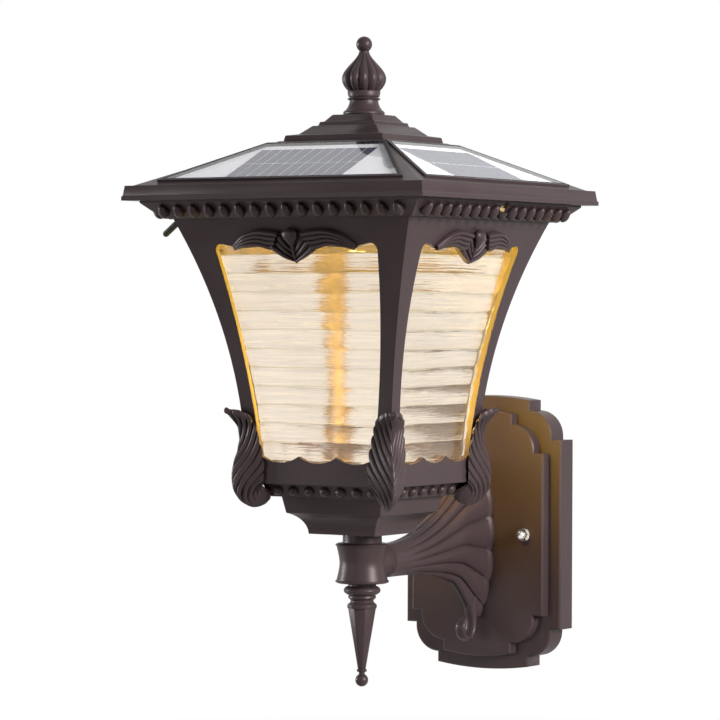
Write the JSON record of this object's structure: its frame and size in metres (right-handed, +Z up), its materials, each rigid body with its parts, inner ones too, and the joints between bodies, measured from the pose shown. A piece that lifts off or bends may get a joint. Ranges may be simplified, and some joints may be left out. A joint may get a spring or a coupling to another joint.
{
  "type": "solar wall lantern",
  "caption": "Square flared wall lantern with a hipped solar roof, ribbed glass, leaf corners and a trumpet arm on a stepped wall plate; the solar head lifts off and a toggle switches it.",
  "frame": {"origin": "centre of the mounting bar's back face, on the wall", "axes": "+Y into the wall, +Z up, +X to the right for a viewer who faces the wall"},
  "size_m": [0.2545, 0.3175, 0.471],
  "materials": {
    "bronze_paint": "satin",
    "ribbed_glass": "frosted",
    "panel_glass": "polished",
    "solar_cell": "gloss",
    "white_sheet": "matte",
    "black_seal": "matte",
    "zinc_steel": "plated",
    "chrome_nut": "polished",
    "brass_screw": "satin",
    "black_plastic": "moulded",
    "battery_wrap": "film",
    "board_green": "lacquered",
    "board_white": "lacquered",
    "component_black": "moulded",
    "led_chip": "gloss"
  },
  "bodies": {
    "lantern": {"wall_plate": "bronze_paint", "wall_arm": "bronze_paint", "collar": "bronze_paint", "neck_spacer": "bronze_paint", "drop_finial": "bronze_paint", "base_pan": "bronze_paint", "beaded_rail": "bronze_paint", "top_ring": "bronze_paint", "side_frame_front": "bronze_paint", "side_frame_right": "bronze_paint", "side_frame_back": "bronze_paint", "side_frame_left": "bronze_paint", "window_crest_front": "bronze_paint", "window_crest_right": "bronze_paint", "window_crest_back": "bronze_paint", "window_crest_left": "bronze_paint", "corner_leaf_front_right": "bronze_paint", "corner_leaf_back_right": "bronze_paint", "corner_leaf_back_left": "bronze_paint", "corner_leaf_front_left": "bronze_paint", "glass_pane_front": "ribbed_glass", "glass_pane_right": "ribbed_glass", "glass_pane_back": "ribbed_glass", "glass_pane_left": "ribbed_glass", "mounting_bar": "zinc_steel", "mounting_studs": "zinc_steel", "arm_screws": "zinc_steel", "threaded_rod": "zinc_steel", "rod_washer": "zinc_steel", "rod_nut": "zinc_steel", "glass_clips": "zinc_steel", "nut_washers": "chrome_nut", "cap_nuts": "chrome_nut"},
    "solar_head": {"cornice": "bronze_paint", "cornice_screws": "zinc_steel", "side_screws": "brass_screw", "roof_frame": "bronze_paint", "roof_cap": "bronze_paint", "top_finial": "bronze_paint", "finial_stud": "zinc_steel", "finial_nut": "zinc_steel", "roof_tray": "black_plastic", "tray_screws": "zinc_steel", "battery_holder": "black_plastic", "battery_cells": "battery_wrap", "control_board": "board_green", "board_components": "component_black", "led_board": "board_white", "led_chips": "led_chip", "solar_cells": "solar_cell", "solar_backings": "white_sheet", "panel_seals": "black_seal", "switch_body": "black_plastic", "switch_bushing": "zinc_steel", "switch_nut": "zinc_steel", "solar_glass_front": "panel_glass", "solar_glass_right": "panel_glass", "solar_glass_back": "panel_glass", "solar_glass_left": "panel_glass"},
    "toggle": {"switch_lever": "black_plastic"}
  },
  "joints": [
    {"name": "roof_lift", "type": "slide", "parent": "lantern", "child": "solar_head", "axis": [0, 0, 1], "range_m": [0, 0.06]},
    {"name": "toggle_tilt", "type": "hinge", "parent": "solar_head", "child": "toggle", "pos_m": [-0.11378, -0.259, 0.23442], "axis": [0, -1, 0], "range_deg": [0, 20]}
  ]
}
